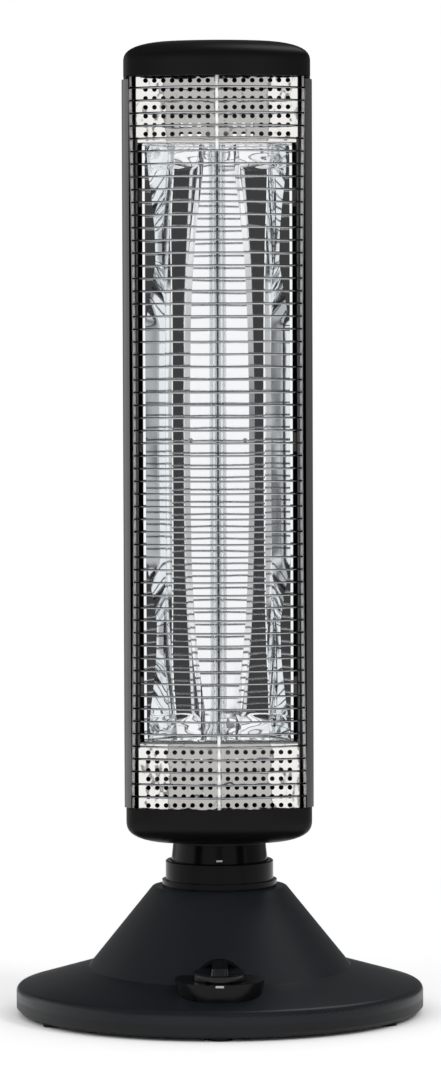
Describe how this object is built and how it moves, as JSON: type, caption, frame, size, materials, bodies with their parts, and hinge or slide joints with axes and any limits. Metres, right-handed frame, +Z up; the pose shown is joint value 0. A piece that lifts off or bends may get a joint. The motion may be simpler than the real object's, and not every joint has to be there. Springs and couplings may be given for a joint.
{
  "type": "standing infrared heater",
  "caption": "Free-standing infrared heater: round weighted foot with a leaning cone and dial, swivelling neck, tall narrow head with a quartz tube in a mirror trough behind a bowed wire guard.",
  "frame": {"origin": "on the floor under the middle of the round foot, on the head's swing axis", "axes": "+Z up, -Y is the front that gives off heat, +X is the right-hand side seen from the front"},
  "size_m": [0.3, 0.3, 0.714],
  "materials": {
    "black_gloss_plastic": "injection moulded, satin gloss",
    "black_matte_plastic": "injection moulded, fine matt grain",
    "cast_iron": "as cast, dipped in dark primer",
    "rubber": "moulded, matt",
    "zinc_screws": "zinc plated",
    "switch_plastic": "moulded, heat resistant",
    "plain_steel": "pressed and zinc plated",
    "white_plastic": "moulded acetal, self coloured",
    "red_plastic": "moulded",
    "shell_paint": "satin black paint on bent sheet",
    "satin_steel": "satin stainless sheet, pierced",
    "polished_aluminium": "bright rolled, mirror side out",
    "ceramic": "fired steatite, unglazed",
    "quartz": "clear fused quartz, polished",
    "carbon": "carbon fibre cord",
    "chromed_wire": "bright chrome on welded steel wire"
  },
  "bodies": {
    "foot": {"foot_cover": "black_gloss_plastic", "foot_tray": "black_matte_plastic", "counterweight": "cast_iron", "rubber_feet": "rubber", "tray_screws": "zinc_screws", "dial_surround": "black_gloss_plastic", "rotary_switch": "switch_plastic", "collar": "black_gloss_plastic", "swivel_bush": "white_plastic", "collar_screws": "zinc_screws", "motor_bracket": "plain_steel", "bracket_screws": "zinc_screws", "stop_pin": "plain_steel", "swing_motor": "plain_steel", "tip_switch": "switch_plastic", "tip_spring": "plain_steel", "terminal_block": "white_plastic", "cord_inlet": "black_matte_plastic"},
    "head": {"neck": "black_gloss_plastic", "retaining_clip": "plain_steel", "sector_gear": "white_plastic", "gear_screws": "zinc_screws", "bottom_cap": "black_gloss_plastic", "neck_screws": "zinc_screws", "top_cap": "black_gloss_plastic", "rear_shell": "shell_paint", "shell_screws": "zinc_screws", "side_frame_left": "shell_paint", "side_frame_right": "shell_paint", "frame_screws": "zinc_screws", "upper_plate": "satin_steel", "lower_plate": "satin_steel", "reflector": "polished_aluminium", "trough_end_upper": "polished_aluminium", "trough_end_lower": "polished_aluminium", "cross_straps": "plain_steel", "tube_holder_upper": "ceramic", "tube_holder_lower": "ceramic", "quartz_tube": "quartz", "carbon_filament": "carbon", "tube_support": "chromed_wire", "thermal_cutout": "switch_plastic", "guard_wires": "chromed_wire", "guard_side_rods": "chromed_wire", "guard_centre_rod": "chromed_wire"},
    "dial": {"switch_shaft": "plain_steel", "control_dial": "black_gloss_plastic"},
    "pinion": {"drive_pinion": "white_plastic"},
    "plunger": {"tip_plunger": "red_plastic"}
  },
  "joints": [
    {"name": "head_swing", "type": "hinge", "parent": "foot", "child": "head", "pos_m": [0, 0, 0.1], "axis": [0, 0, 1], "range_deg": [-35, 35]},
    {"name": "pinion_spin", "type": "hinge", "parent": "foot", "child": "pinion", "pos_m": [0, 0.049, 0.075], "axis": [0, 0, 1], "range_deg": [-211, 211]},
    {"name": "dial_turn", "type": "hinge", "parent": "foot", "child": "dial", "pos_m": [0, -0.111, 0.03956], "axis": [0, -0.0523, 0.9986], "range_deg": [-90, 90]},
    {"name": "tip_slide", "type": "slide", "parent": "foot", "child": "plunger", "axis": [0, 0, -1], "range_m": [0, 0.004], "stiffness_N_per_m": 60, "springref_m": 0.009, "deforming": ["tip_spring"]}
  ],
  "couplings": [
    {"joint": "pinion_spin", "follows": "head_swing", "ratio": -6}
  ]
}
